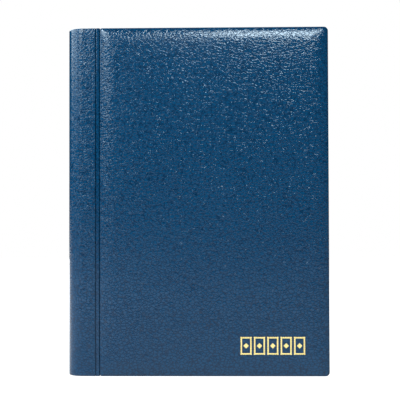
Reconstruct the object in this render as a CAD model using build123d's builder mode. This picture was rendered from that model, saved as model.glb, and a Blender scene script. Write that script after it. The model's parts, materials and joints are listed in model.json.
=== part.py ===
"""Pocket stamp album, standing on its tail edge.

Two padded covers hinge on a round-backed spine that clamps eight pocket leaves and seven interleaves.
X runs from the spine (-X) to the fore-edge, the front cover faces -Y, and Z is up the page.
The origin is at the middle of the tail edge. A "depth" is a distance from the mid-plane y = 0.
"""
import os

from build123d import *

# Driving dimensions, in millimetres
album_width = 165.0
album_height = 220.0
spine_thickness = 20.0
album_thickness = 23.2
leaf_count = 8
leaf_pitch = 1.6

# Spine: a bent skin over a bent card, with a clamping strip of board inside each flat side
fore_edge = album_width / 2
spine_back = -album_width / 2
spine_depth = spine_thickness / 2
bend_x = spine_back + spine_depth
skin_wall = 0.6
card_wall = 0.8
card_margin = 1.0
strip_end = bend_x + 7.5
strip_margin = 1.5
strip_depth_in = leaf_count * leaf_pitch / 2
strip_depth_out = spine_depth - skin_wall - card_wall

# Cover hinge: a thin welded groove between the spine's flat side and the padded panel
hinge_x = -63.3
hinge_gap = 0.1
groove_width = 2.6
panel_start = hinge_x + groove_width / 2
card_end = hinge_x - groove_width / 2 - 0.2

# Padded cover, from its inner face out: pastedown, board, foam and skin
crown_depth = album_thickness / 2
cover_inner_depth = 6.6
paste_thickness = 0.2
board_thickness = 2.0
foam_thickness = 2.3
cover_skin = 0.5
paste_border = 3.0
corner_radius = 2.6
hinge_corner_radius = 1.0
shoulder_radius = 2.2
inner_edge_radius = 0.5
board_depth = cover_inner_depth + paste_thickness
foam_depth = board_depth + board_thickness
lip_overlap = 0.4

# Gold ornament: a strip of perforated stamp outlines, each with a diamond in it
stamp_count = 5
stamp_width = 7.1
stamp_height = 11.2
stamp_pitch = 8.35
stamp_frame = 1.0
perforation_radius = 0.32
perforation_pitch = 1.1
diamond_side = 2.4
foil_thickness = 0.15
ornament_x = 46.85
ornament_z = 19.3

# Leaves: a card with clear strips on both faces, hung on a stub by a linen hinge
page_margin = 3.5
leaf_end = fore_edge - page_margin
leaf_corner = 2.0
leaf_card = 0.5
film = 0.12
hinge_half_gap = 1.2
linen_width = 9.0
stub_start = bend_x - 4.5
stub_thickness = 1.45
first_hinge_x = -60.6
# Hinges step towards the middle of the block, so that opened leaves lie side by side
hinge_steps = [0.0, 0.85, 1.3, 1.45]
interleaf_steps = [0.45, 1.12, 1.37, 1.45]
strip_rows = 6
strip_height = 29.0
strip_pitch = 34.2
strip_inset = 3.0
interleaf_thickness = 0.1
interleaf_end = leaf_end - 1.0
interleaf_margin = page_margin + 1.0

# Staples through the clamped edge
staple_count = 4
staple_pitch = 53.0
staple_wire_radius = 0.35
staple_crown = 10.0
staple_clinch = 3.6
staple_bend = 0.8
staple_x = bend_x + 3.5
staple_depth = strip_depth_out - 0.45
leg_hole_radius = 0.45
channel_width = 1.0
channel_depth = 0.9

os.makedirs("parts", exist_ok=True)


def save(piece, name):
    """Labels a finished piece and writes it under its node's name."""
    piece.part.label = name
    export_step(piece.part, f"parts/{name}.step")


def face_plane(y):
    """A plane parallel to the covers at that y; sketches on it use X and Z, and extrude towards -Y."""
    return Plane.XZ.offset(-y)


def block_y(place):
    """The y of a leaf (whole numbers from 1) or of the gap after it (halves)."""
    return (place - (leaf_count + 1) / 2) * leaf_pitch


def mirrored_step(steps, number, last):
    """The hinge step of a leaf or interleaf, counted from the nearer cover."""
    return steps[min(number, last + 1 - number) - 1]


def add_sheet(x_start, x_end, z_margin, y_back, thickness, corner=0.0):
    """Extrudes a flat sheet whose back is at y_back, with its fore-edge corners rounded."""
    with BuildSketch(face_plane(y_back)) as outline:
        with Locations((x_start, z_margin)):
            Rectangle(x_end - x_start, album_height - 2 * z_margin, align=(Align.MIN, Align.MIN))
        if corner:
            fillet(outline.vertices().group_by(Axis.X)[-1], corner)
    extrude(outline.sketch, amount=thickness)


def add_panel(inset, depth, thickness):
    """Extrudes the cover's outline, drawn in from its edge by inset, outwards from that depth."""
    with BuildSketch(face_plane(-depth)) as outline:
        with Locations((panel_start + inset, inset)):
            Rectangle(
                fore_edge - panel_start - 2 * inset, album_height - 2 * inset, align=(Align.MIN, Align.MIN)
            )
        fillet(outline.vertices().group_by(Axis.X)[-1], corner_radius - inset)
        fillet(outline.vertices().group_by(Axis.X)[0], hinge_corner_radius - inset)
    extrude(outline.sketch, amount=thickness)


def add_bend(outer_depth, wall, x_end, z_start, z_end):
    """Extrudes the spine's U: a half-round back that runs into two flat sides."""
    flat = x_end - bend_x
    with BuildSketch(Plane.XY.offset(z_start)) as bend:
        with Locations((bend_x, 0)):
            Circle(outer_depth)
            Circle(outer_depth - wall, mode=Mode.SUBTRACT)
            Rectangle(outer_depth, 2 * outer_depth, align=(Align.MIN, Align.CENTER), mode=Mode.SUBTRACT)
        with Locations((bend_x + flat / 2, 0)):
            with GridLocations(1, 2 * outer_depth - wall, 1, 2):
                Rectangle(flat, wall)
    extrude(bend.sketch, amount=z_end - z_start)


def staple_heights():
    """The height of each staple's middle."""
    middle = (staple_count - 1) / 2
    return [album_height / 2 + (n - middle) * staple_pitch for n in range(staple_count)]


def cut_staple_holes():
    """Pierces the piece in work with two leg holes for each staple."""
    with BuildSketch(Plane.XZ) as holes:
        for z in staple_heights():
            with Locations((staple_x, z)):
                with GridLocations(1, staple_crown, 1, 2):
                    Circle(leg_hole_radius)
    extrude(holes.sketch, amount=spine_depth, both=True, mode=Mode.SUBTRACT)


# Spine unit
with BuildPart() as spine_skin:
    add_bend(spine_depth, skin_wall, hinge_x - hinge_gap / 2, 0, album_height)
save(spine_skin, "spine_skin")

with BuildPart() as spine_card:
    add_bend(spine_depth - skin_wall, card_wall, card_end, card_margin, album_height - card_margin)
save(spine_card, "spine_card")

with BuildPart() as front_binding_strip:
    add_sheet(bend_x, strip_end, strip_margin, -strip_depth_in, strip_depth_out - strip_depth_in)
    cut_staple_holes()
    with BuildSketch(face_plane(channel_depth - strip_depth_out)):
        for z in staple_heights():
            with Locations((staple_x, z)):
                Rectangle(channel_width, staple_crown + 2 * channel_width)
    extrude(amount=channel_depth, mode=Mode.SUBTRACT)
save(front_binding_strip, "front_binding_strip")

with BuildPart() as back_binding_strip:
    mirror(front_binding_strip.part, about=Plane.XZ)
save(back_binding_strip, "back_binding_strip")

with BuildPart() as staples:
    for z in staple_heights():
        low, high = z - staple_crown / 2, z + staple_crown / 2
        with BuildLine() as wire_path:
            FilletPolyline(
                (staple_x, staple_depth, low + staple_clinch),
                (staple_x, staple_depth, low),
                (staple_x, -staple_depth, low),
                (staple_x, -staple_depth, high),
                (staple_x, staple_depth, high),
                (staple_x, staple_depth, high - staple_clinch),
                radius=staple_bend,
            )
        with BuildSketch(Plane(wire_path.line @ 0, z_dir=wire_path.line % 0)):
            Circle(staple_wire_radius)
        sweep(path=wire_path.line)
save(staples, "staples")

# Front cover
with BuildPart() as front_pastedown:
    add_sheet(
        panel_start + paste_border,
        fore_edge - paste_border,
        paste_border,
        -cover_inner_depth,
        paste_thickness,
        leaf_corner,
    )
save(front_pastedown, "front_pastedown")

with BuildPart() as front_cover_board:
    add_panel(cover_skin, board_depth, board_thickness)
save(front_cover_board, "front_cover_board")

with BuildPart() as front_cover_foam:
    add_panel(cover_skin, foam_depth, foam_thickness)
    fillet(front_cover_foam.faces().sort_by(Axis.Y)[0].edges(), shoulder_radius - cover_skin)
save(front_cover_foam, "front_cover_foam")

with BuildPart() as gold_ornament:
    with BuildSketch(face_plane(foil_thickness - crown_depth)):
        middle = (stamp_count - 1) / 2
        columns = int((stamp_width - perforation_pitch / 2) / perforation_pitch)
        rows = int((stamp_height - perforation_pitch / 2) / perforation_pitch)
        for n in range(stamp_count):
            with Locations((ornament_x + (n - middle) * stamp_pitch, ornament_z)):
                Rectangle(stamp_width, stamp_height)
                Rectangle(
                    stamp_width - 2 * stamp_frame, stamp_height - 2 * stamp_frame, mode=Mode.SUBTRACT
                )
                with GridLocations(perforation_pitch, stamp_height, columns, 2):
                    Circle(perforation_radius, mode=Mode.SUBTRACT)
                with GridLocations(stamp_width, perforation_pitch, 2, rows):
                    Circle(perforation_radius, mode=Mode.SUBTRACT)
                Rectangle(diamond_side, diamond_side, rotation=45)
    extrude(amount=foil_thickness)
save(gold_ornament, "gold_ornament")

# The leatherette over a padded panel, hollowed for what it wraps, with its half of the groove
with BuildPart() as plain_cover_skin:
    add_panel(0, cover_inner_depth, crown_depth - cover_inner_depth)
    fillet(plain_cover_skin.faces().sort_by(Axis.Y)[0].edges(), shoulder_radius)
    fillet(plain_cover_skin.faces().sort_by(Axis.Y)[-1].edges(), inner_edge_radius)
    add_sheet(hinge_x + hinge_gap / 2, panel_start + lip_overlap, 0, skin_wall - spine_depth, skin_wall)
    for filling in (front_cover_board, front_cover_foam, front_pastedown):
        add(filling.part, mode=Mode.SUBTRACT)

with BuildPart() as front_cover_skin:
    add(plain_cover_skin.part)
    add(gold_ornament.part, mode=Mode.SUBTRACT)
save(front_cover_skin, "front_cover_skin")

# Back cover
with BuildPart() as back_pastedown:
    mirror(front_pastedown.part, about=Plane.XZ)
save(back_pastedown, "back_pastedown")

with BuildPart() as back_cover_board:
    mirror(front_cover_board.part, about=Plane.XZ)
save(back_cover_board, "back_cover_board")

with BuildPart() as back_cover_foam:
    mirror(front_cover_foam.part, about=Plane.XZ)
save(back_cover_foam, "back_cover_foam")

with BuildPart() as back_cover_skin:
    mirror(plain_cover_skin.part, about=Plane.XZ)
save(back_cover_skin, "back_cover_skin")

# Leaves, each on its own stub in the clamped edge
for n in range(1, leaf_count + 1):
    leaf_y = block_y(n)
    leaf_hinge = first_hinge_x + mirrored_step(hinge_steps, n, leaf_count)
    leaf_start = leaf_hinge + hinge_half_gap
    back_face = leaf_y + leaf_card / 2
    front_face = leaf_y - leaf_card / 2

    with BuildPart() as stub:
        add_sheet(
            stub_start, leaf_hinge - hinge_half_gap, page_margin, leaf_y + stub_thickness / 2, stub_thickness
        )
        cut_staple_holes()
    save(stub, f"stub_{n}")

    with BuildPart() as leaf:
        add_sheet(leaf_start, leaf_end, page_margin, back_face, leaf_card, leaf_corner)
    save(leaf, f"leaf_{n}_card")

    with BuildPart() as linen:
        for back in (back_face + film, front_face):
            add_sheet(leaf_start, leaf_start + linen_width, page_margin, back, film)
    save(linen, f"leaf_{n}_linen")

    with BuildPart() as strips:
        strip_start = leaf_start + linen_width + strip_inset
        strip_width = leaf_end - strip_inset - strip_start
        for back in (back_face + film, front_face):
            with BuildSketch(face_plane(back)):
                with Locations((strip_start + strip_width / 2, album_height / 2)):
                    with GridLocations(1, strip_pitch, 1, strip_rows):
                        Rectangle(strip_width, strip_height)
            extrude(amount=film)
    save(strips, f"leaf_{n}_strips")

# Interleaves, one in each gap between two leaves
for n in range(1, leaf_count):
    interleaf_start = first_hinge_x + mirrored_step(interleaf_steps, n, leaf_count - 1) + hinge_half_gap
    with BuildPart() as interleaf:
        interleaf_back = block_y(n + 0.5) + interleaf_thickness / 2
        add_sheet(
            interleaf_start,
            interleaf_end,
            interleaf_margin,
            interleaf_back,
            interleaf_thickness,
            leaf_corner,
        )
    save(interleaf, f"interleaf_{n}_sheet")
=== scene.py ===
"""Looks for the stamp album: leatherette, hinge grooves, foil, linen, film and glassine on the frame."""
import json
import math

import bmesh
import bpy
from mathutils import Matrix, Vector, noise


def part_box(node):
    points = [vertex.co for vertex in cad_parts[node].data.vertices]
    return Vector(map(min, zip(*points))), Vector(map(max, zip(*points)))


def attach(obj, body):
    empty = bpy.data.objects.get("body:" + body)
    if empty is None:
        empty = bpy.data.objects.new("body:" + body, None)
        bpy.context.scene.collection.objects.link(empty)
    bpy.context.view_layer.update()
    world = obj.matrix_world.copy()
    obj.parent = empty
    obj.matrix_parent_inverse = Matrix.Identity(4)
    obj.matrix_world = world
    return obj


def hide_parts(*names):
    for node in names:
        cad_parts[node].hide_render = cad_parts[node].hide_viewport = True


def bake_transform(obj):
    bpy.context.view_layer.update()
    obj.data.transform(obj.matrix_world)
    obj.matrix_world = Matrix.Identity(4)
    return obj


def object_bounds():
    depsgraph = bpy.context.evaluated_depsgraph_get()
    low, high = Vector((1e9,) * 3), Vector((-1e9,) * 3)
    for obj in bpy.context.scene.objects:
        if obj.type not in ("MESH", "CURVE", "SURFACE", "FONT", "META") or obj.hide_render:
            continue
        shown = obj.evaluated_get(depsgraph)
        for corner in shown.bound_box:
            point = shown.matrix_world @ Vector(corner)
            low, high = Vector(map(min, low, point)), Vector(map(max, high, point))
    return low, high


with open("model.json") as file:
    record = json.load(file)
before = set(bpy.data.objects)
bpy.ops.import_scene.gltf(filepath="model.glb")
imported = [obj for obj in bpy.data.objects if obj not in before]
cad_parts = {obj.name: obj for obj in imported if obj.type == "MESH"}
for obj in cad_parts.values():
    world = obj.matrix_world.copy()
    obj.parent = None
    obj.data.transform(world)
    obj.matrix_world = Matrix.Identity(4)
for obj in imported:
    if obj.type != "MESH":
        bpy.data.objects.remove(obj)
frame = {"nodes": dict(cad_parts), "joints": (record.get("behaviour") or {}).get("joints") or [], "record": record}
cad_low, cad_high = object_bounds()

MM = 0.001
FRONT, BACK = -1, 1
SIDES = {"front": FRONT, "back": BACK}
JOINTS = {j["name"]: j for j in frame["joints"]}
NODE_SLOT = {s["node"]: s["material_slot"] for s in frame["record"]["subparts"]}

# Sizes read from the frame, in metres. A "depth" is a distance from the mid-plane y = 0, and an "inset" is
# a distance inwards from a cover's edge.
spine_low, spine_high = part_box("spine_skin")
cover_low, cover_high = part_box("front_cover_skin")
board_low, board_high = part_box("front_cover_board")
foam_depth = -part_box("front_cover_foam")[1].y
paste_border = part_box("front_pastedown")[0].z
height = cad_high.z
spine_depth = spine_high.y
bend_x = spine_low.x + spine_depth
hinge_x = JOINTS["front_cover_hinge"]["pos_m"][0]
crown_depth = -cover_low.y
inner_depth = -cover_high.y
lining_depth = -board_high.y
fore_edge = cover_high.x
skin = board_low.z
panel_start = board_low.x - skin
groove_half = panel_start - hinge_x
leaf_count = sum(name.endswith("_card") and name.startswith("leaf_") for name in frame["nodes"])

# Padded covers: the rounded shoulder, the dome inside it, the corners' radii and the skin's slight waves
SHOULDER_WIDTH = 10.2 * MM
DOME_RISE = 0.6 * MM
DOME_WIDTH = 30 * MM
EDGE_DEPTH = crown_depth - 2.3 * MM
FORE_CORNER = 2.6 * MM
HINGE_CORNER = 1.5 * MM
CORNER_GROWTH = 0.35  # of a corner's radius, for each unit of inset
INNER_EDGE = 0.5 * MM
WAVE_HEIGHT = 0.05 * MM
WAVE_LENGTH = 38 * MM
DEEPEST_INSET = (fore_edge - panel_start) / 2 - 1.5 * MM
LONG_STEPS, SHORT_STEPS, CORNER_STEPS = 104, 36, 8

# Spine and hinge grooves
CREASE_DEPTH = 0.9 * MM
CREASE_ROUND = 0.35 * MM
SPINE_LIFT = 0.4 * MM  # of the flat side, from the bend to the groove

# Mesh points nearer to each other than this become one
SAME_PLACE = 0.001 * MM

# Studio
LIGHT_TARGET = Vector((0.0, 0.0, 0.7 * height))
DAYLIGHT = (0.72, 0.90, 1.0)


# ---------------------------------------------------------------- meshes

def make_piece(name, points, faces, material, sharp_angle=35):
    """A smooth mesh object with outward normals, and each point's rest place stored on it."""
    mesh = bpy.data.meshes.new(name)
    mesh.from_pydata([tuple(p) for p in points], [], faces)
    bm = bmesh.new()
    bm.from_mesh(mesh)
    bmesh.ops.remove_doubles(bm, verts=bm.verts, dist=SAME_PLACE)
    bmesh.ops.recalc_face_normals(bm, faces=bm.faces)
    bm.to_mesh(mesh)
    bm.free()
    mesh.polygons.foreach_set("use_smooth", [True] * len(mesh.polygons))
    mesh.set_sharp_from_angle(angle=math.radians(sharp_angle))
    store_rest(mesh)
    mesh.materials.append(material)
    piece = bpy.data.objects.new(name, mesh)
    bpy.context.scene.collection.objects.link(piece)
    return piece


def store_rest(mesh):
    """Keeps every point's place at rest in an attribute, which the materials of bending pieces read."""
    rest = mesh.attributes.new("rest_place", "FLOAT_VECTOR", "POINT")
    rest.data.foreach_set("vector", [c for v in mesh.vertices for c in v.co])


def ring_faces(ring_count, count):
    """Faces between neighbouring rings of count points each."""
    faces = []
    for k in range(ring_count - 1):
        for i in range(count):
            j = (i + 1) % count
            faces.append((k * count + i, k * count + j, (k + 1) * count + j, (k + 1) * count + i))
    return faces


def grid_points(outer, inner):
    """The points of a sheet's outer grid, row by row, and then those of its inner grid."""
    return [p for row in outer for p in row] + [p for row in inner for p in row]


def sheet_faces(rows, columns, first=0):
    """Faces of a closed sheet between two grids of rows x columns points, numbered from first."""
    def at(side, i, j):
        return first + side * rows * columns + i * columns + j

    faces = []
    for side in (0, 1):
        for i in range(rows - 1):
            for j in range(columns - 1):
                quad = ((i, j), (i, j + 1), (i + 1, j + 1), (i + 1, j))
                faces.append(tuple(at(side, row, column) for row, column in quad))
    for i in range(rows - 1):
        for j in (0, columns - 1):
            faces.append((at(0, i, j), at(0, i + 1, j), at(1, i + 1, j), at(1, i, j)))
    for j in range(columns - 1):
        for i in (0, rows - 1):
            faces.append((at(0, i, j), at(0, i, j + 1), at(1, i, j + 1), at(1, i, j)))
    return faces


def shell_piece(name, outer, inner, material, sharp_angle):
    """A closed sheet between two grids of points with the same rows and columns."""
    faces = sheet_faces(len(outer), len(outer[0]))
    return make_piece(name, grid_points(outer, inner), faces, material, sharp_angle)


def spread(start, end, count):
    """count + 1 numbers, evenly spaced."""
    return [start + (end - start) * k / count for k in range(count + 1)]


def arc_points(centre, radius, start, end, count):
    """Points of an arc, by angles in degrees."""
    return [
        (centre[0] + radius * math.cos(math.radians(a)), centre[1] + radius * math.sin(math.radians(a)))
        for a in spread(start, end, count)
    ]


# ---------------------------------------------------------------- padded covers

def plan_ring(inset):
    """The cover's outline drawn in by inset: (x, z) points from the tail's middle, round by the spine."""
    x0, x1 = panel_start + inset, fore_edge - inset
    z0, z1 = inset, height - inset
    middle = (x0 + x1) / 2
    room = min(x1 - x0, z1 - z0) / 2
    near = min(HINGE_CORNER + CORNER_GROWTH * inset, room)
    far = min(FORE_CORNER + CORNER_GROWTH * inset, room)
    ring = [(x, z0) for x in spread(middle, x0 + near, SHORT_STEPS)[:-1]]
    ring += arc_points((x0 + near, z0 + near), near, 270, 180, CORNER_STEPS)[:-1]
    ring += [(x0, z) for z in spread(z0 + near, z1 - near, LONG_STEPS)[:-1]]
    ring += arc_points((x0 + near, z1 - near), near, 180, 90, CORNER_STEPS)[:-1]
    ring += [(x, z1) for x in spread(x0 + near, middle, SHORT_STEPS)[:-1]]
    ring += [(x, z1) for x in spread(middle, x1 - far, SHORT_STEPS)[:-1]]
    ring += arc_points((x1 - far, z1 - far), far, 90, 0, CORNER_STEPS)[:-1]
    ring += [(x1, z) for z in spread(z1 - far, z0 + far, LONG_STEPS)[:-1]]
    ring += arc_points((x1 - far, z0 + far), far, 0, -90, CORNER_STEPS)[:-1]
    ring += [(x, z0) for x in spread(x1 - far, middle, SHORT_STEPS)[:-1]]
    return ring


def crown(inset):
    """Depth of the padded face at that inset."""
    rise = crown_depth - DOME_RISE - EDGE_DEPTH
    across = min(inset / SHOULDER_WIDTH, 1.0)
    dome = min(inset / DOME_WIDTH, 1.0)
    return EDGE_DEPTH + rise * math.sqrt(1 - (1 - across) ** 2) + DOME_RISE * (1 - (1 - dome) ** 2)


def wave(x, z, inset):
    """The slight unevenness of material stretched over padding, which dies out towards the edge."""
    share = min(inset / SHOULDER_WIDTH, 1.0)
    return WAVE_HEIGHT * noise.noise(Vector((x / WAVE_LENGTH, 0.0, z / WAVE_LENGTH))) * share


def crown_at(x, z):
    """Depth of the padded face's surface at a place well inside its corners."""
    inset = min(x - panel_start, fore_edge - x, z, height - z)
    return crown(inset) + wave(x, z, inset)


def shoulder_insets():
    """Insets from the middle of the cover to its edge, close together over the shoulder."""
    dense_width = 1.3 * SHOULDER_WIDTH
    flat = spread(DEEPEST_INSET, dense_width, 28)
    dense = [dense_width * (1 - math.sin(math.radians(a))) for a in spread(0, 90, 18)[1:]]
    return flat + dense


def under_face(gap):
    """(inset, depth) steps from middle to edge, below the padded face by its skin's thickness and a gap."""
    return [(inset, crown(inset) - skin - gap) for inset in shoulder_insets() if inset > 1.2 * skin]


def nested_solid(name, section, side, material):
    """A closed solid with the cover's outline, from (inset, depth) steps that run from middle to middle."""
    points = []
    for inset, depth in section:
        on_padding = depth >= EDGE_DEPTH - skin
        for x, z in plan_ring(inset):
            lift = wave(x, z, inset) if on_padding else 0.0
            points.append((x, side * (depth + lift), z))
    count = len(plan_ring(0))
    faces = ring_faces(len(section), count)
    for base in (0, (len(section) - 1) * count):
        for i in range(count // 2):
            corners = [base + i, base + i + 1, base + (count - i - 1) % count, base + (count - i) % count]
            faces.append(tuple(dict.fromkeys(corners)))
    return make_piece(name, points, faces, material, sharp_angle=60)


def cover_skin(side_name, side, material):
    """The leatherette of one padded panel, wrapped round the edge to the pastedown."""
    border_end = paste_border - 0.1 * MM
    rim_depth = inner_depth + 0.05 * MM
    outside = [(inset, crown(inset)) for inset in shoulder_insets()]
    side_wall = [(0.0, d) for d in spread(EDGE_DEPTH, inner_depth + INNER_EDGE, 5)[1:]]
    turn = [
        (INNER_EDGE * (1 - math.cos(a)), inner_depth + INNER_EDGE * (1 - math.sin(a)))
        for a in [math.radians(d) for d in spread(0, 90, 5)[1:]]
    ]
    border = [(inset, inner_depth) for inset in spread(INNER_EDGE, border_end, 3)[1:]]
    rim = [(paste_border, rim_depth), (paste_border, lining_depth)]
    inside_wall = [(skin, lining_depth), (skin, EDGE_DEPTH)]
    inside = under_face(0.0)[::-1]
    section = outside + side_wall + turn + border + rim + inside_wall + inside
    piece = nested_solid(f"{side_name}_leatherette", section, side, material)
    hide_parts(f"{side_name}_cover_skin")
    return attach(piece, f"{side_name}_cover")


def cover_padding(side_name, side, material):
    """The foam under one cover's leatherette."""
    gap = 0.03 * MM
    bevel = 0.2 * MM
    start = skin + gap
    edge = [(start, (EDGE_DEPTH + foam_depth) / 2), (start, foam_depth + bevel)]
    base = [(start + bevel, foam_depth)]
    base += [(inset, foam_depth) for inset in spread(5 * MM, DEEPEST_INSET, 6)]
    piece = nested_solid(f"{side_name}_padding", under_face(gap) + edge + base, side, material)
    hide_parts(f"{side_name}_cover_foam")
    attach(piece, f"{side_name}_cover")
    return piece


# ---------------------------------------------------------------- spine and hinge grooves

def spine_path():
    """(place, outward normal) along the spine's outside, from the front groove round to the back one."""
    end = hinge_x - groove_half
    side_width = end - bend_x

    def lift(x):
        return SPINE_LIFT * max(0.0, (x - bend_x) / side_width)

    wall_foot = (end, CREASE_DEPTH + SPINE_LIFT, math.radians(90))
    drop = [
        (end - CREASE_ROUND * (1 - math.sin(a)), CREASE_ROUND * (1 - math.cos(a)), a)
        for a in [math.radians(d) for d in spread(90, 0, 5)]
    ]
    flat = [(x, 0.0, 0.0) for x in spread(end - CREASE_ROUND, bend_x, 7)[1:-1]]
    front = [
        (Vector((x, fall - lift(x) - spine_depth, 0)), Vector((math.sin(a), -math.cos(a), 0)))
        for x, fall, a in [wall_foot] + drop + flat
    ]
    bend = []
    for a in [math.radians(d) for d in spread(-90, -270, 56)]:
        out = Vector((math.cos(a), math.sin(a), 0))
        bend.append((Vector((bend_x, 0, 0)) + spine_depth * out, out))
    back = [(Vector((p.x, -p.y, 0)), Vector((n.x, -n.y, 0))) for p, n in reversed(front)]
    return front + bend + back


def rolled_section(wall, core, rows):
    """Outer and inner (inset, z) lines of a skin, wall thick, rolled over a card's ends, core thick."""
    outer_round, inner_round = wall + core / 2, core / 2
    foot = outer_round + 0.4 * MM
    outer = [(2 * outer_round, foot)]
    inner = [(wall + core, foot)]
    turn = [math.radians(d) for d in spread(0, 180, 10)]
    for a in turn:
        outer.append((outer_round + outer_round * math.cos(a), outer_round - outer_round * math.sin(a)))
        inner.append((outer_round + inner_round * math.cos(a), outer_round - inner_round * math.sin(a)))
    for z in spread(outer_round, height - outer_round, rows)[1:-1]:
        outer.append((0.0, z))
        inner.append((wall, z))
    rolled = len(turn) + 1
    outer += [(inset, height - z) for inset, z in reversed(outer[:rolled])]
    inner += [(inset, height - z) for inset, z in reversed(inner[:rolled])]
    return outer, inner


def spine_skin(material):
    """The leatherette bent round the spine and rolled in at its head and tail."""
    outer_line, inner_line = rolled_section(wall=0.6 * MM, core=0.8 * MM, rows=90)
    deepest = outer_line[0][0]
    # The walls that face the grooves are thinner, which keeps them off the binding strips inside.
    groove_wall_share = 0.55 * MM / deepest
    groove_wall_slope = 0.2
    groove_side = hinge_x - groove_half - CREASE_ROUND
    path = spine_path()

    def grid(line):
        rows = []
        for inset, z in line:
            row = []
            for place, out in path:
                on_groove_wall = place.x > groove_side and abs(out.x) > groove_wall_slope
                depth = inset * groove_wall_share if on_groove_wall else inset
                point = place - out * depth
                point.z = z
                row.append(point)
            rows.append(row)
        return rows

    piece = shell_piece("spine_leatherette", grid(outer_line), grid(inner_line), material, sharp_angle=70)
    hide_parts("spine_skin")
    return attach(piece, "spine")


def hinge_groove(side_name, side, material):
    """The welded strip between the spine and one cover: an arched web with a crease along each edge."""
    thickness = 0.2 * MM
    margin = 0.15 * MM
    tucked = groove_half + 0.2 * MM  # its edges lie under the spine's skin and the cover's
    rise = 1.05 * MM
    lean = 0.13 * MM  # of the arch, towards the cover
    half = groove_half - 0.2 * MM
    foot = spine_depth - CREASE_DEPTH
    shares = [math.sin(math.radians(d)) for d in spread(-90, 90, 24)]
    levels = spread(margin, height - margin, 60)

    def grid(radius, base):
        arch = [(lean + radius * share, base + rise * (1 - share ** 4) ** 0.25) for share in shares]
        line = [(-tucked, base)] + arch + [(tucked, base)]
        return [[(hinge_x + across, side * depth, z) for across, depth in line] for z in levels]

    outer = grid(half, foot)
    inner = grid(half - thickness, foot - thickness)
    piece = shell_piece(f"{side_name}_hinge_groove", outer, inner, material, sharp_angle=70)
    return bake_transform(piece)


# ---------------------------------------------------------------- foil

def foil_ornament(material):
    """The stamped gold ornament, laid on the padded face's own curve."""
    proud, sunk = 0.02 * MM, 0.1 * MM
    flat = frame["nodes"]["gold_ornament"].data
    middle = sum(v.co.y for v in flat.vertices) / len(flat.vertices)
    points = [
        (v.co.x, -crown_at(v.co.x, v.co.z) + (-proud if v.co.y < middle else sunk), v.co.z)
        for v in flat.vertices
    ]
    faces = [tuple(face.vertices) for face in flat.polygons]
    piece = make_piece("gold_foil_ornament", points, faces, material)
    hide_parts("gold_ornament")
    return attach(piece, "front_cover")


# ---------------------------------------------------------------- inside

def linen_hinge(number, material):
    """The linen that joins a leaf to its stub: a web across the hinge, and a fold on each face."""
    x, y = JOINTS[f"leaf_{number}_hinge"]["pos_m"][:2]
    card_low, card_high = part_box(f"leaf_{number}_card")
    linen_low, linen_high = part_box(f"leaf_{number}_linen")
    gap = card_low.x - x
    web = 0.16 * MM
    play = 0.02 * MM
    notch = 0.05 * MM
    face_in, face_out = card_high.y - y, linen_high.y - y
    over_gap = spread(x - gap, x + gap, 12)
    outer = [(px, web + (face_out - web) * max(0.0, (px - x) / gap) ** 2) for px in over_gap]
    outer += [(px, face_out) for px in spread(card_low.x, linen_high.x, 6)[1:]]
    card_slot = [(linen_high.x, face_in), (card_low.x + play, face_in), (card_low.x - notch, 0.0)]
    contour = outer + card_slot
    contour += [(px, -d) for px, d in reversed(outer + card_slot[:-1])]
    levels = spread(linen_low.z, linen_high.z, 40)
    points = [(px, y + d, z) for z in levels for px, d in contour]
    count = len(contour)
    faces = ring_faces(len(levels), count)
    faces.append(tuple(range(count)))
    faces.append(tuple(range(len(points) - count, len(points))))
    piece = make_piece(f"leaf_{number}_linen_hinge", points, faces, material)
    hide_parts(f"leaf_{number}_linen")
    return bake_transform(piece)


def strip_profile(row_height):
    """(level, stand-off, share of the film's thickness) up one strip, from its foot to its free edge."""
    seal = 2 * MM
    edge = 0.4 * MM
    lift = 0.1 * MM
    body = 0.85
    profile = [(0.0, 0.0, 0.7), (edge, 0.0, 1.0), (seal, 0.0, body)]
    profile += [(seal + (row_height - seal) * k, lift * k ** 1.5, body) for k in spread(0, 1, 6)[1:-1]]
    profile += [(row_height - edge, 0.97 * lift, body), (row_height, lift, 0.6)]
    return profile


def page_strips(number, material):
    """The clear strips of a leaf, each sealed along its foot and ends and a little open along its top."""
    strip_low, strip_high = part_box(f"leaf_{number}_strips")
    card_low, card_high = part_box(f"leaf_{number}_card")
    rows = 6
    row_height = 29 * MM
    pitch = (strip_high.z - strip_low.z - row_height) / (rows - 1)
    film = strip_high.y - card_high.y
    profile = strip_profile(row_height)
    columns = spread(strip_low.x, strip_high.x, 10)
    end_width = (strip_high.x - strip_low.x) / 6
    openness = [min(1.0, min(cx - strip_low.x, strip_high.x - cx) / end_width) for cx in columns]
    points, faces = [], []
    for side, card_face in ((FRONT, card_low.y), (BACK, card_high.y)):
        for foot in [strip_low.z + row * pitch for row in range(rows)]:
            outer, inner = [], []
            for level, stand_off, share in profile:
                z = foot + level
                rests = [card_face + side * stand_off * k for k in openness]
                inner.append([(cx, rest, z) for cx, rest in zip(columns, rests)])
                outer.append([(cx, rest + side * film * share, z) for cx, rest in zip(columns, rests)])
            faces += sheet_faces(len(profile), len(columns), first=len(points))
            points += grid_points(outer, inner)
    piece = make_piece(f"leaf_{number}_clear_strips", points, faces, material)
    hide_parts(f"leaf_{number}_strips")
    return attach(piece, f"leaf_{number}")


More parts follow.
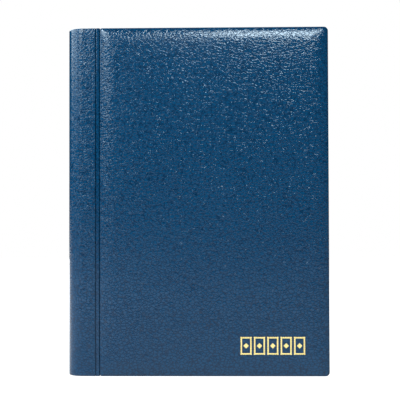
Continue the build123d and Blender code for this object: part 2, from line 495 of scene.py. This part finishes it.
def interleaf(number, material):
    """A glassine sheet, from its margin between two stubs to its free edge, with a slight wave."""
    x, y = JOINTS[f"interleaf_{number}_hinge"]["pos_m"][:2]
    low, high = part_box(f"interleaf_{number}_sheet")
    gap = low.x - x
    half = (high.y - low.y) / 2
    corner = 2 * MM
    corner_start = high.x - corner
    sway_height = 0.16 * MM
    sway_start_width = 25 * MM  # over which the sway grows, from the hinge
    wave_across, wave_up = 45 * MM, 60 * MM
    apart = 3.7  # from one sheet's place in the noise to the next one's
    columns = spread(bend_x, x - gap, 5) + spread(x - gap, x + gap, 10)[1:-1]
    columns += spread(x + gap, corner_start, 34)
    columns += [corner_start + corner * math.sin(math.radians(a)) for a in spread(0, 90, 6)[1:]]
    outer, inner = [], []
    for share in spread(0, 1, 48):
        front, behind = [], []
        for cx in columns:
            over = max(0.0, cx - corner_start) / corner
            trim = corner * (1 - math.sqrt(max(0.0, 1 - over ** 2)))
            z = low.z + trim + (high.z - low.z - 2 * trim) * share
            free = max(0.0, min(1.0, (cx - x - gap) / sway_start_width))
            sway = sway_height * free * noise.noise(Vector((cx / wave_across, number * apart, z / wave_up)))
            front.append((cx, y - half + sway, z))
            behind.append((cx, y + half + sway, z))
        outer.append(front)
        inner.append(behind)
    piece = shell_piece(f"interleaf_{number}_glassine", outer, inner, material, sharp_angle=50)
    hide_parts(f"interleaf_{number}_sheet")
    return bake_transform(piece)


# ---------------------------------------------------------------- materials

def linear(red, green, blue):
    """A display colour, 0 to 255, as linear light."""
    def one(c):
        c /= 255
        return c / 12.92 if c <= 0.04045 else ((c + 0.055) / 1.055) ** 2.4
    return (one(red), one(green), one(blue), 1.0)


def new_material(name):
    """(material, its node tree, its Principled shader)."""
    material = bpy.data.materials.new(name)
    material.use_nodes = True
    return material, material.node_tree, material.node_tree.nodes["Principled BSDF"]


def set_inputs(tree, node, inputs):
    """Gives a node's inputs their values. A value is a number, a colour, or a socket to link from."""
    for key, value in inputs.items():
        if isinstance(value, bpy.types.NodeSocket):
            tree.links.new(value, node.inputs[key])
        else:
            node.inputs[key].default_value = value


def add_node(tree, kind, inputs=None, **settings):
    """Adds a node with those inputs and settings."""
    node = tree.nodes.new(kind)
    for key, value in settings.items():
        setattr(node, key, value)
    set_inputs(tree, node, inputs or {})
    return node


def vector_node(tree, operation, inputs):
    """The result of vector arithmetic."""
    return add_node(tree, "ShaderNodeVectorMath", inputs, operation=operation).outputs["Vector"]


def place_mm(tree, bends):
    """The point's place in millimetres: as stored on a bending piece, and the object's own otherwise."""
    if bends:
        source = add_node(tree, "ShaderNodeAttribute", attribute_name="rest_place").outputs["Vector"]
    else:
        source = add_node(tree, "ShaderNodeTexCoord").outputs["Object"]
    return vector_node(tree, "SCALE", {0: source, "Scale": 1 / MM})


def math_node(tree, operation, a, b=0.0):
    """The result of arithmetic on one or two numbers."""
    return add_node(tree, "ShaderNodeMath", {0: a, 1: b}, operation=operation).outputs[0]


def mapped(tree, value, low, high, to_low=0.0, to_high=1.0):
    """value moved smoothly from one range into another, and held at both ends."""
    inputs = {0: value, 1: low, 2: high, 3: to_low, 4: to_high}
    return add_node(tree, "ShaderNodeMapRange", inputs, interpolation_type="SMOOTHSTEP").outputs[0]


def mixed(tree, factor, first, second):
    """A colour between two, by factor."""
    inputs = {"Factor": factor, 6: first, 7: second}
    return add_node(tree, "ShaderNodeMix", inputs, data_type="RGBA").outputs[2]


def noise_value(tree, vector, scale, detail=3.0, roughness=0.5):
    """Smooth noise, mostly 0.3 to 0.7, with scale features to each unit of vector."""
    inputs = {"Vector": vector, "Scale": scale, "Detail": detail, "Roughness": roughness}
    return add_node(tree, "ShaderNodeTexNoise", inputs).outputs["Fac"]


def bump(tree, shader, relief, depth_mm):
    """Relief on the shader's surface. A relief of 1 is depth_mm tall."""
    node = add_node(tree, "ShaderNodeBump", {"Height": relief, "Distance": depth_mm * MM, "Strength": 1.0})
    tree.links.new(node.outputs["Normal"], shader.inputs["Normal"])


def warped(tree, vector, scale, amount):
    """The place pushed about by smooth noise, so that patterns lose their straight sides."""
    push = add_node(tree, "ShaderNodeTexNoise", {"Vector": vector, "Scale": scale, "Detail": 2.0})
    centred = vector_node(tree, "SUBTRACT", {0: push.outputs["Color"], 1: (0.5, 0.5, 0.5)})
    grown = vector_node(tree, "SCALE", {0: centred, "Scale": amount})
    return vector_node(tree, "ADD", {0: vector, 1: grown})


def leather_grain(tree, place):
    """(height in mm, plateau mask) of an embossed leather grain: plateaus parted by narrow creases."""
    stretch = (0.8, 0.9, 1.15)
    cells_per_mm, crease_width = 0.55, 0.18
    plateau_height, ridge_height, swell_height = 0.03, 0.028, 0.045
    drawn = vector_node(tree, "MULTIPLY", {0: place, 1: stretch})
    twisted = warped(tree, drawn, 0.30, 2.4)
    cell_inputs = {"Vector": twisted, "Scale": cells_per_mm}
    cells = add_node(tree, "ShaderNodeTexVoronoi", cell_inputs, feature="DISTANCE_TO_EDGE")
    plateaus = mapped(tree, cells.outputs["Distance"], 0.0, crease_width)
    ridges = mapped(tree, noise_value(tree, twisted, 0.72, 1.0), 0.46, 0.68)
    swell = noise_value(tree, place, 0.14, 2.0)
    relief = math_node(tree, "MULTIPLY", plateaus, plateau_height)
    for layer, layer_height in ((ridges, ridge_height), (swell, swell_height)):
        relief = math_node(tree, "ADD", relief, math_node(tree, "MULTIPLY", layer, layer_height))
    return relief, plateaus


def leatherette(name, bends=False, emboss=1.0):
    """Deep blue embossed plastic leather with a soft gloss, and painted shade darkening the grain's creases."""
    # Painted shade: the creases' colour is darker than the plateaus', standing in for the shade that falls in
    # them.
    crease_shade_blue = (0.0007, 0.014, 0.036, 1)
    dark_blue, light_blue = (0.0014, 0.026, 0.062, 1), (0.0018, 0.031, 0.072, 1)
    crease_roughness, plateau_roughness = 0.13, 0.09
    material, tree, shader = new_material(name)
    place = place_mm(tree, bends)
    relief, plateaus = leather_grain(tree, place)
    cloud = noise_value(tree, place, 0.02, 2.0)
    # The base colour darkens from the plateaus into the creases: painted shade.
    set_inputs(tree, shader, {
        "Base Color": mixed(tree, plateaus, crease_shade_blue, mixed(tree, cloud, dark_blue, light_blue)),
        "Roughness": mapped(tree, plateaus, 0.0, 1.0, crease_roughness, plateau_roughness),
        "IOR": 1.36,
    })
    bump(tree, shader, relief, emboss)
    return material


def gold_foil(name):
    """Hot-stamped foil that takes the grain under it."""
    material, tree, shader = new_material(name)
    place = place_mm(tree, False)
    relief, plateaus = leather_grain(tree, place)
    tint = noise_value(tree, place, 0.5)
    set_inputs(tree, shader, {
        "Base Color": mixed(tree, tint, linear(224, 194, 112), linear(240, 218, 150)),
        "Metallic": 0.75,
        "Roughness": mapped(tree, plateaus, 0.0, 1.0, 0.5, 0.34),
    })
    bump(tree, shader, relief, 1.0)
    return material


def card_stock(name, dark, light, grain_scale=2.2, smoothest=0.6, roughest=0.8, depth=0.02):
    """Card, board or paper: short fibres, mottling and a matt face."""
    fibre_share, cloud_share = 0.7, 0.3
    material, tree, shader = new_material(name)
    place = place_mm(tree, False)
    fibre = noise_value(tree, warped(tree, place, 0.7, 1.2), grain_scale, 5.0, 0.65)
    cloud = noise_value(tree, place, 0.06, 3.0)
    fibre_part = math_node(tree, "MULTIPLY", fibre, fibre_share)
    amount = math_node(tree, "ADD", fibre_part, math_node(tree, "MULTIPLY", cloud, cloud_share))
    set_inputs(tree, shader, {
        "Base Color": mixed(tree, mapped(tree, amount, 0.3, 0.7), dark, light),
        "Roughness": mapped(tree, fibre, 0.3, 0.7, roughest, smoothest),
    })
    bump(tree, shader, fibre, depth)
    return material


def linen_tape(name):
    """Black book linen: a plain weave of threads about 0.5 mm apart."""
    thread_pitch = 0.55
    material, tree, shader = new_material(name)
    place = place_mm(tree, True)
    parts = add_node(tree, "ShaderNodeSeparateXYZ", {0: warped(tree, place, 0.4, 0.12)}).outputs

    def threads(along):
        phase = math_node(tree, "MULTIPLY", along, math.pi / thread_pitch)
        return math_node(tree, "ABSOLUTE", math_node(tree, "SINE", phase))

    weave = math_node(tree, "MULTIPLY", threads(parts[0]), threads(parts[2]))
    fuzz = math_node(tree, "MULTIPLY", noise_value(tree, place, 4.0), 0.3)
    amount = math_node(tree, "ADD", weave, fuzz)
    set_inputs(tree, shader, {
        "Base Color": mixed(tree, amount, linear(14, 14, 16), linear(44, 44, 48)),
        "Roughness": mapped(tree, weave, 0.0, 1.0, 0.9, 0.65),
    })
    bump(tree, shader, amount, 0.06)
    return material


def clear_film(name):
    """Polished clear film with faint handling marks."""
    material, tree, shader = new_material(name)
    place = place_mm(tree, False)
    marks = noise_value(tree, warped(tree, place, 0.08, 6.0), 0.9, 4.0, 0.6)
    set_inputs(tree, shader, {
        "Base Color": mixed(tree, marks, linear(214, 222, 228), linear(240, 244, 246)),
        "Alpha": mapped(tree, marks, 0.45, 0.8, 0.14, 0.24),
        "Roughness": mapped(tree, marks, 0.4, 0.8, 0.06, 0.2),
    })
    bump(tree, shader, noise_value(tree, place, 0.12, 2.0), 0.12)
    return material


def glassine(name):
    """Milky, slightly crinkled glassine."""
    material, tree, shader = new_material(name)
    place = place_mm(tree, True)
    cloud = noise_value(tree, place, 0.25, 5.0, 0.6)
    set_inputs(tree, shader, {
        "Base Color": mixed(tree, cloud, linear(222, 220, 208), linear(243, 242, 235)),
        "Alpha": mapped(tree, cloud, 0.3, 0.7, 0.5, 0.66),
        "Roughness": mapped(tree, cloud, 0.3, 0.7, 0.5, 0.32),
    })
    bump(tree, shader, noise_value(tree, warped(tree, place, 0.05, 9.0), 0.1, 3.0), 0.25)
    return material


def foam(name):
    """Open-cell padding foam."""
    material, tree, shader = new_material(name)
    place = place_mm(tree, False)
    cells = add_node(tree, "ShaderNodeTexVoronoi", {"Vector": place, "Scale": 2.4}).outputs["Distance"]
    set_inputs(tree, shader, {
        "Base Color": mixed(tree, cells, linear(236, 230, 206), linear(176, 166, 138)),
        "Roughness": 0.9,
    })
    bump(tree, shader, cells, 0.12)
    return material


def steel_wire(name):
    """Drawn staple wire with fine marks."""
    material, tree, shader = new_material(name)
    marks = noise_value(tree, place_mm(tree, False), 6.0, 4.0)
    set_inputs(tree, shader, {
        "Base Color": mixed(tree, marks, linear(150, 150, 152), linear(205, 206, 208)),
        "Metallic": 1.0,
        "Roughness": mapped(tree, marks, 0.3, 0.7, 0.42, 0.26),
    })
    bump(tree, shader, marks, 0.01)
    return material


def make_materials():
    """One material for each of the record's slots, and one more for the leatherette that bends."""
    board_dark, board_light = linear(122, 118, 108), linear(158, 152, 140)
    lining_dark, lining_light = linear(16, 18, 24), linear(30, 34, 42)
    page_dark, page_light = linear(18, 18, 19), linear(36, 36, 38)
    return {
        "cover_leatherette": leatherette("blue_leatherette"),
        "bending_leatherette": leatherette("blue_leatherette_hinge", bends=True, emboss=0.4),
        "gold_foil": gold_foil("stamped_gold_foil"),
        "grey_board": card_stock("grey_board", board_dark, board_light, 1.6),
        "padding_foam": foam("padding_foam"),
        "pastedown_paper": card_stock("pastedown_paper", lining_dark, lining_light, 1.4, 0.4, 0.6, 0.04),
        "black_card": card_stock("black_card", page_dark, page_light, 2.6),
        "black_linen": linen_tape("black_linen"),
        "clear_film": clear_film("clear_film"),
        "glassine": glassine("glassine"),
        "steel_wire": steel_wire("staple_wire"),
    }


# ---------------------------------------------------------------- studio

def make_camera():
    """The photograph's view: level with the lower half of the cover and a little to its right."""
    camera = bpy.data.objects.new("camera", bpy.data.cameras.new("camera"))
    bpy.context.scene.collection.objects.link(camera)
    place = Vector((20.7 * MM, -729.8 * MM, 91.5 * MM))
    yaw = Matrix.Rotation(math.radians(1.53), 4, "Z")
    pitch = Matrix.Rotation(math.radians(90 + 1.53), 4, "X")
    roll = Matrix.Rotation(math.radians(-0.15), 4, "Z")
    camera.matrix_world = Matrix.Translation(place) @ yaw @ pitch @ roll
    camera.data.sensor_width = 36.0
    camera.data.lens = 102.9
    camera.data.clip_start = 0.01
    bpy.context.scene.camera = camera


def softbox(name, azimuth, elevation, distance, size, power):
    """A softbox that faces the object, by degrees round it from the front towards +X, and degrees up."""
    data = bpy.data.lights.new(name, "AREA")
    data.shape = "RECTANGLE"
    data.size, data.size_y = size
    data.energy = power
    data.color = DAYLIGHT
    light = bpy.data.objects.new(name, data)
    bpy.context.scene.collection.objects.link(light)
    around, up = math.radians(azimuth), math.radians(elevation)
    offset = Vector((math.sin(around) * math.cos(up), -math.cos(around) * math.cos(up), math.sin(up)))
    light.location = LIGHT_TARGET + distance * offset
    light.visible_camera = False
    light.rotation_euler = (-offset).to_track_quat("-Z", "Y").to_euler()


def make_floor():
    """A white light table that reaches past the view and glows more to the left of the object."""
    half = 3.0
    glow_from, glow_to = -0.36, -0.06
    left_glow, plain_glow = 1.7, 1.0
    corners = [(-half, -half, 0), (half, -half, 0), (half, half, 0), (-half, half, 0)]
    mesh = bpy.data.meshes.new("floor")
    mesh.from_pydata(corners, [], [(0, 1, 2, 3)])
    floor = bpy.data.objects.new("floor", mesh)
    bpy.context.scene.collection.objects.link(floor)
    material, tree, shader = new_material("white_table")
    place = add_node(tree, "ShaderNodeTexCoord").outputs["Object"]
    across = add_node(tree, "ShaderNodeSeparateXYZ", {0: place}).outputs[0]
    speck = noise_value(tree, place, 10.0)
    set_inputs(tree, shader, {
        "Base Color": mixed(tree, speck, (0.22, 0.19, 0.18, 1), (0.24, 0.21, 0.20, 1)),
        "Roughness": 0.8,
        "Specular IOR Level": 0.1,
        "Emission Color": (1.0, 1.0, 1.0, 1.0),
        "Emission Strength": mapped(tree, across, glow_from, glow_to, left_glow, plain_glow),
    })
    mesh.materials.append(material)


def make_world():
    """A room that the eye sees as white, and that is dim in reflections and as light on the object."""
    dim, white = (0.03, 0.03, 0.033, 1.0), (1.0, 1.0, 1.0, 1.0)
    world = bpy.data.worlds.new("studio")
    bpy.context.scene.world = world
    world.use_nodes = True
    tree = world.node_tree
    seen_directly = add_node(tree, "ShaderNodeLightPath").outputs["Is Camera Ray"]
    set_inputs(tree, tree.nodes["Background"], {"Color": mixed(tree, seen_directly, dim, white)})


def make_lights():
    """A key above the viewer, a broad softer light from the left, and fill for the far sides."""
    softbox("key", 8, 30, 1.3, (0.36, 0.30), 12.5)
    softbox("key_glow", 0, 21, 1.3, (0.80, 0.24), 0.5)
    softbox("left_front", -31, 24, 1.2, (0.52, 0.48), 10.5)
    softbox("left_side", -80, 23, 1.2, (1.28, 0.54), 19)
    softbox("left_accent", -27, 33, 1.2, (0.22, 0.22), 5)
    softbox("back_left", -150, 38, 1.4, (0.8, 0.8), 10)
    softbox("back_right", 140, 38, 1.4, (0.8, 0.8), 10)
    softbox("overhead", 180, 80, 1.6, (1.2, 1.2), 8)


# ---------------------------------------------------------------- assembly

def dress_frame(materials):
    """Gives every CAD node that stays the material of its slot."""
    for name, node in frame["nodes"].items():
        for slot in node.material_slots:
            slot.material = materials[NODE_SLOT[name]]


def build_album(materials):
    """Every piece of the album that takes the place of a CAD node, and the two hinge grooves."""
    dress_frame(materials)
    spine_skin(materials["cover_leatherette"])
    for side_name, side in SIDES.items():
        cover_skin(side_name, side, materials["cover_leatherette"])
        cover_padding(side_name, side, materials["padding_foam"])
        hinge_groove(side_name, side, materials["bending_leatherette"])
    foil_ornament(materials["gold_foil"])
    for number in range(1, leaf_count + 1):
        linen_hinge(number, materials["black_linen"])
        page_strips(number, materials["clear_film"])
    for number in range(1, leaf_count):
        interleaf(number, materials["glassine"])


make_camera()
make_world()
make_lights()
make_floor()
build_album(make_materials())

bpy.context.scene.view_settings.view_transform = "Standard"
